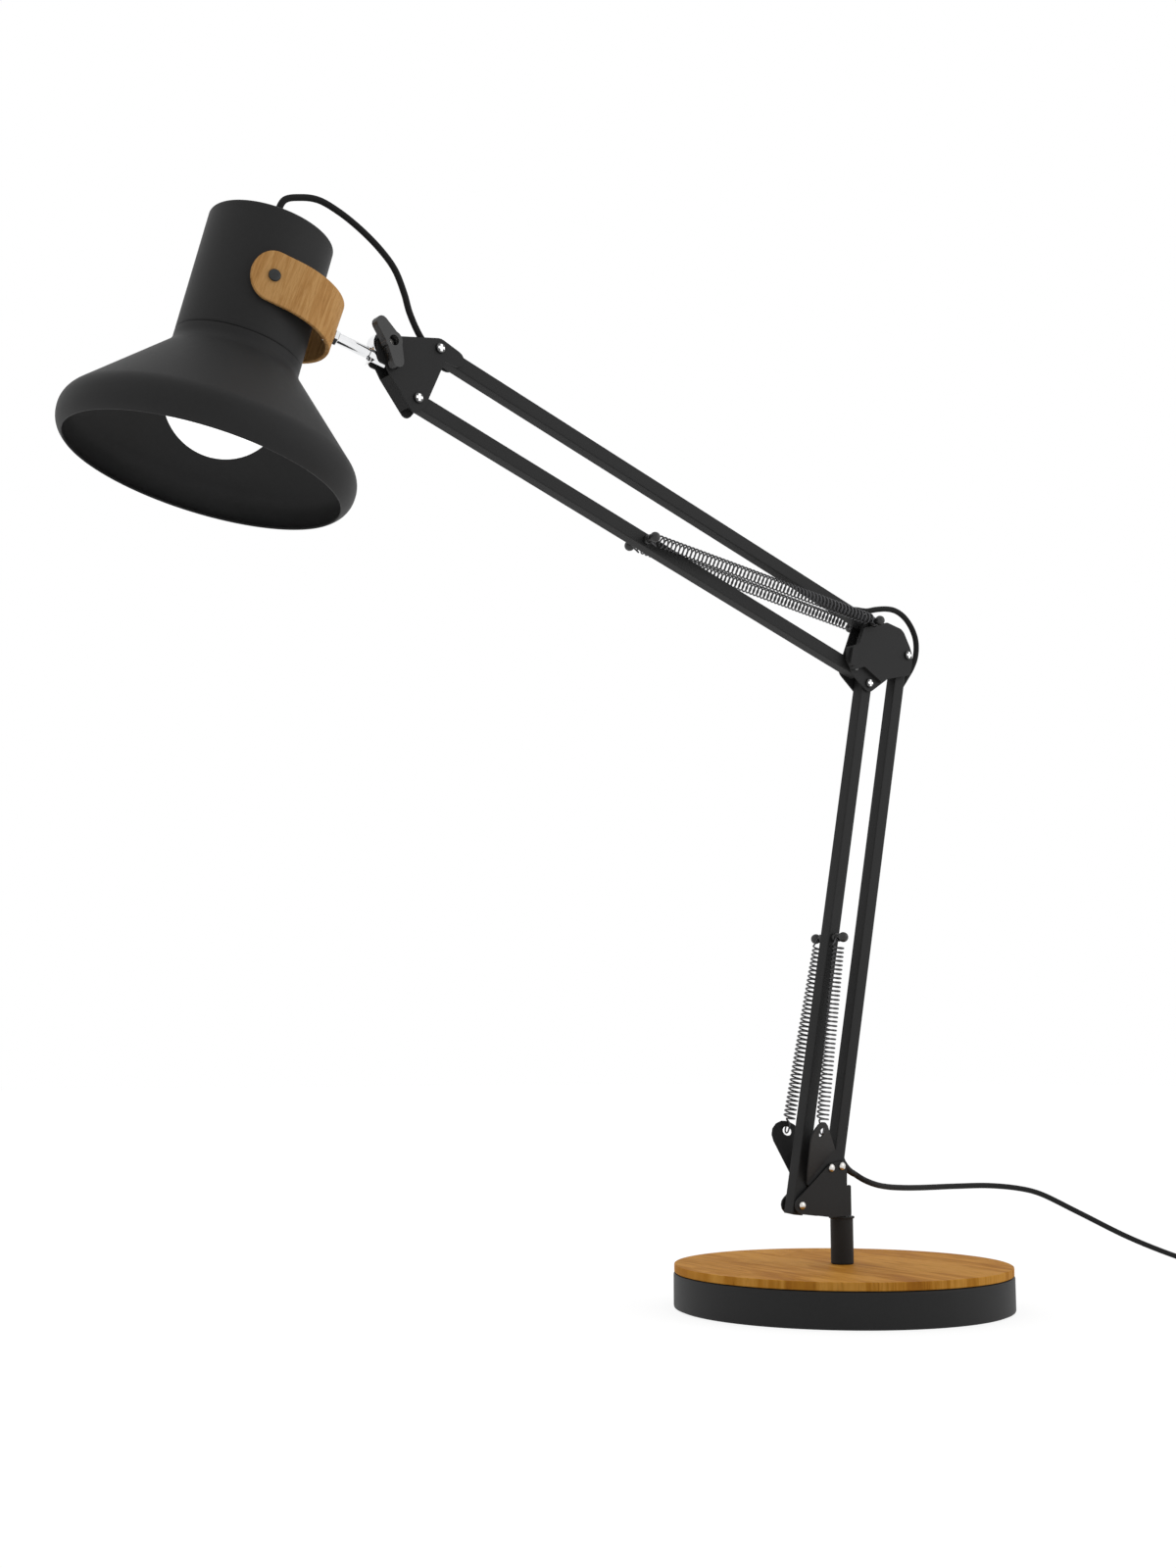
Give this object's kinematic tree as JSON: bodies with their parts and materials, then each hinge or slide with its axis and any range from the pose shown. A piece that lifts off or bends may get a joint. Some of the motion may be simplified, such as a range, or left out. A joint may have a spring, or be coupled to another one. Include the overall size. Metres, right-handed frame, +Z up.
{
  "type": "desk lamp",
  "caption": "Balanced-arm desk lamp on a weighted round base with a wooden top, two parallelogram arms with springs, and a flared metal shade in a bent-wood yoke.",
  "frame": {"origin": "centre of the base's underside, where the lamp stands", "axes": "+Z up, the arms in the XZ plane with the head towards -X, the side that the wing knob is on towards -Y"},
  "size_m": [0.8555, 0.2604, 0.5652],
  "materials": {
    "black_paint": "fine satin black powder coat",
    "oak_top": "oiled, straight grain",
    "bent_wood": "clear satin lacquer",
    "bulb_glass": "opal white",
    "chrome": "polished",
    "black_rubber": "smooth matte",
    "plug_brass": "nickel plated",
    "black_plastic": "fine matte",
    "bright_steel": "polished",
    "spring_steel": "blackened",
    "base_iron": "rough cast",
    "black_steel": "blackened"
  },
  "bodies": {
    "base": {"base_shell": "black_paint", "base_weight": "base_iron", "base_pad": "black_rubber", "wood_top": "oak_top", "post": "black_paint", "post_washer": "bright_steel", "post_nut": "bright_steel", "mains_cord": "black_rubber", "cord_coil": "black_rubber", "cord_tie": "black_plastic", "plug_body": "black_rubber", "plug_pin_near": "plug_brass", "plug_pin_far": "plug_brass"},
    "arm_bracket": {"swivel_pin": "bright_steel", "bracket_plate_near": "black_paint", "bracket_plate_far": "black_paint", "spring_ear_near": "black_paint", "spring_ear_far": "black_paint", "ear_rivet_near": "bright_steel", "ear_rivet_far": "bright_steel", "bracket_front_pin": "bright_steel", "bracket_back_pin": "bright_steel", "lower_spring_near": "spring_steel", "lower_spring_far": "spring_steel", "cord_sleeve": "black_rubber"},
    "lower_back_arm": {"lower_back_tube": "black_paint", "lower_cord_run": "black_rubber"},
    "lower_front_arm": {"lower_front_tube": "black_paint", "lower_spring_pin": "black_plastic"},
    "elbow": {"elbow_plate_near": "black_paint", "elbow_plate_far": "black_paint", "elbow_cover": "black_paint", "elbow_front_pin": "bright_steel", "elbow_back_pin": "bright_steel", "elbow_lower_pin": "bright_steel", "elbow_spring_pin": "black_plastic", "upper_spring_near": "spring_steel", "upper_spring_far": "spring_steel", "elbow_cord": "black_rubber"},
    "upper_top_arm": {"upper_top_tube": "black_paint", "upper_cord_run": "black_rubber"},
    "upper_lower_arm": {"upper_lower_tube": "black_paint", "upper_spring_pin": "black_plastic"},
    "head_mount": {"head_bracket": "black_paint", "head_lower_pin": "bright_steel", "head_upper_pin_near": "bright_steel", "head_upper_pin_far": "bright_steel", "clamp_bolt": "bright_steel", "head_cord": "black_rubber"},
    "knob": {"wing_knob": "black_plastic"},
    "stem_clamp": {"stem_eye": "chrome"},
    "yoke_arm": {"stem": "chrome", "yoke": "bent_wood"},
    "head": {"housing": "black_paint", "shade": "black_paint", "yoke_screw_near": "black_steel", "yoke_screw_far": "black_steel", "lampholder": "black_plastic", "cord_gland": "black_plastic", "lamp_bulb": "bulb_glass"}
  },
  "joints": [
    {"name": "base_swivel", "type": "hinge", "parent": "base", "child": "arm_bracket", "pos_m": [0, 0, 0.05], "axis": [0, 0, 1], "range_deg": [-170, 170], "deforming": ["mains_cord"]},
    {"name": "lower_arm_tilt", "type": "hinge", "parent": "arm_bracket", "child": "lower_back_arm", "pos_m": [-0.0051, 0, 0.0787], "axis": [0, 1, 0], "range_deg": [-75, 20], "deforming": ["cord_sleeve"]},
    {"name": "lower_front_tilt", "type": "hinge", "parent": "arm_bracket", "child": "lower_front_arm", "pos_m": [-0.036, 0, 0.0583], "axis": [0, 1, 0], "range_deg": [-75, 20], "deforming": ["lower_spring_near", "lower_spring_far"]},
    {"name": "elbow_level", "type": "hinge", "parent": "lower_back_arm", "child": "elbow", "pos_m": [0.05637, 0, 0.37948], "axis": [0, 1, 0], "range_deg": [-20, 75], "deforming": ["elbow_cord"]},
    {"name": "upper_arm_tilt", "type": "hinge", "parent": "elbow", "child": "upper_top_arm", "pos_m": [0.02817, 0, 0.39618], "axis": [0, 1, 0], "range_deg": [-40, 60], "deforming": ["elbow_cord"]},
    {"name": "upper_lower_tilt", "type": "hinge", "parent": "elbow", "child": "upper_lower_arm", "pos_m": [0.01547, 0, 0.36718], "axis": [0, 1, 0], "range_deg": [-40, 60], "deforming": ["upper_spring_near", "upper_spring_far"]},
    {"name": "head_level", "type": "hinge", "parent": "upper_top_arm", "child": "head_mount", "pos_m": [-0.27747, 0, 0.4972], "axis": [0, 1, 0], "range_deg": [-60, 40], "deforming": ["head_cord"]},
    {"name": "knob_turn", "type": "hinge", "parent": "head_mount", "child": "knob", "pos_m": [-0.3086, 0, 0.4925], "axis": [0, 1, 0], "range_deg": [-90, 90]},
    {"name": "head_tilt", "type": "hinge", "parent": "head_mount", "child": "stem_clamp", "pos_m": [-0.3086, 0, 0.4925], "axis": [0, 1, 0], "range_deg": [-32, 45], "deforming": ["head_cord"]},
    {"name": "head_swivel", "type": "hinge", "parent": "stem_clamp", "child": "yoke_arm", "pos_m": [-0.3136, 0, 0.4868], "axis": [-0.9459, 0.16, 0.2823], "range_deg": [-90, 90], "deforming": ["head_cord"]},
    {"name": "head_nod", "type": "hinge", "parent": "yoke_arm", "child": "head", "pos_m": [-0.37556, 0.01048, 0.50529], "axis": [0.1792, 0.9828, 0.0435], "range_deg": [-22, 28], "deforming": ["head_cord"]}
  ],
  "couplings": [
    {"joint": "lower_front_tilt", "follows": "lower_arm_tilt", "ratio": 1},
    {"joint": "elbow_level", "follows": "lower_arm_tilt", "ratio": -1},
    {"joint": "upper_lower_tilt", "follows": "upper_arm_tilt", "ratio": 1},
    {"joint": "head_level", "follows": "upper_arm_tilt", "ratio": -1}
  ]
}
